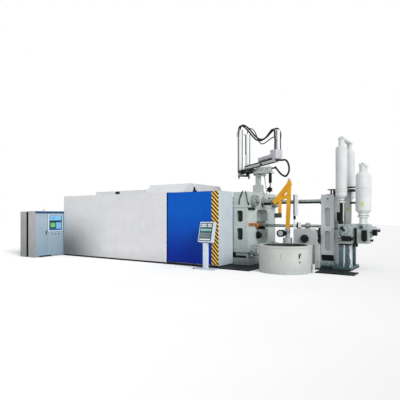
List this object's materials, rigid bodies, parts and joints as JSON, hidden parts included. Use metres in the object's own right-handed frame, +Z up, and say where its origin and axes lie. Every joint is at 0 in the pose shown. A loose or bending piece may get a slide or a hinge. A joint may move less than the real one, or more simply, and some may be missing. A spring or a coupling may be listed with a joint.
{
  "type": "cold chamber die casting machine",
  "caption": "Horizontal cold chamber die casting machine with sheet guard, sliding door, sprayer, ladler, holding furnace, gas bottles and control cabinets.",
  "frame": {"origin": "on the floor under the machine axis, at the die face of the stationary platen", "axes": "+X along the machine from the clamp end to the injection end, -Y the operator's side, +Z up"},
  "size_m": [13.1383, 5.79, 5.1291],
  "materials": {
    "dark_steel": "satin",
    "panel_grey": "satin",
    "door_blue": "satin",
    "black_part": "satin",
    "casting_green": "painted",
    "bright_bar": "ground",
    "aluminium_profile": "anodised",
    "cover_grey": "satin",
    "furnace_grey": "satin",
    "ladler_yellow": "gloss",
    "cast_ladle": "rough",
    "bottle_white": "gloss",
    "cabinet_blue_grey": "satin"
  },
  "bodies": {
    "machine": {"bottle_brackets": "bottle_white", "clamp_bars": "bottle_white", "clamp_screw": "black_part", "console_box": "cabinet_blue_grey", "console_stand": "cabinet_blue_grey", "control_cabinet": "cabinet_blue_grey", "door_rails": "dark_steel", "end_platen": "casting_green", "end_walls": "panel_grey", "floor_tray": "dark_steel", "furnace": "furnace_grey", "guard_frame": "dark_steel", "guard_panels": "panel_grey", "guard_plinth": "dark_steel", "hose_post": "aluminium_profile", "injection_cylinder": "casting_green", "injection_support": "casting_green", "ladler_drive": "cover_grey", "ladler_post": "cover_grey", "lock_bracket": "black_part", "lubricator": "cover_grey", "machine_bed": "dark_steel", "manifold_block": "casting_green", "moving_platen": "casting_green", "operating_panel": "cabinet_blue_grey", "plunger_rod": "bright_bar", "probe_box": "cover_grey", "raised_hood": "panel_grey", "rear_hose": "black_part", "roof_covers": "panel_grey", "roof_fittings": "black_part", "safety_door_rear": "door_blue", "second_cabinet": "cabinet_blue_grey", "short_accumulators": "bottle_white", "shot_column": "casting_green", "shot_shroud": "cover_grey", "shot_sleeve": "bright_bar", "slim_cylinder": "bottle_white", "sprayer_beam": "aluminium_profile", "sprayer_carriage": "black_part", "sprayer_cover": "cover_grey", "sprayer_pedestal": "casting_green", "sprayer_rail": "black_part", "stationary_platen": "casting_green", "tall_accumulators": "bottle_white", "tie_bar_nuts": "casting_green", "tie_bars": "bright_bar", "upper_hoses": "black_part", "upper_tie_rod": "bright_bar", "valve_block": "casting_green", "valves": "black_part"},
    "safety_door": {"safety_door_front": "door_blue"},
    "cabinet_door": {"cabinet_door": "cabinet_blue_grey"},
    "spray_lift": {"spray_arm": "aluminium_profile", "spray_head": "aluminium_profile"},
    "ladler_swing": {"ladler_arm": "ladler_yellow"},
    "ladle": {"ladle": "cast_ladle"}
  },
  "joints": [
    {"name": "safety_door_slide", "type": "slide", "parent": "machine", "child": "safety_door", "axis": [-1, 0, 0], "range_m": [0, 1.7]},
    {"name": "cabinet_door_hinge", "type": "hinge", "parent": "machine", "child": "cabinet_door", "pos_m": [-7.64, -3.54, 0.9], "axis": [0, 0, -1], "range_deg": [0, 110]},
    {"name": "spray_arm_lift", "type": "slide", "parent": "machine", "child": "spray_lift", "axis": [0, 0, -1], "range_m": [0, 1.3], "deforming": ["upper_hoses"]},
    {"name": "ladler_arm_swing", "type": "hinge", "parent": "machine", "child": "ladler_swing", "pos_m": [1.7, -0.56, 1.22], "axis": [0, -1, 0], "range_deg": [-3, 25]},
    {"name": "ladle_tilt", "type": "hinge", "parent": "ladler_swing", "child": "ladle", "pos_m": [1.43, -0.56, 1.76], "axis": [0, 1, 0], "range_deg": [-75, 20]}
  ]
}
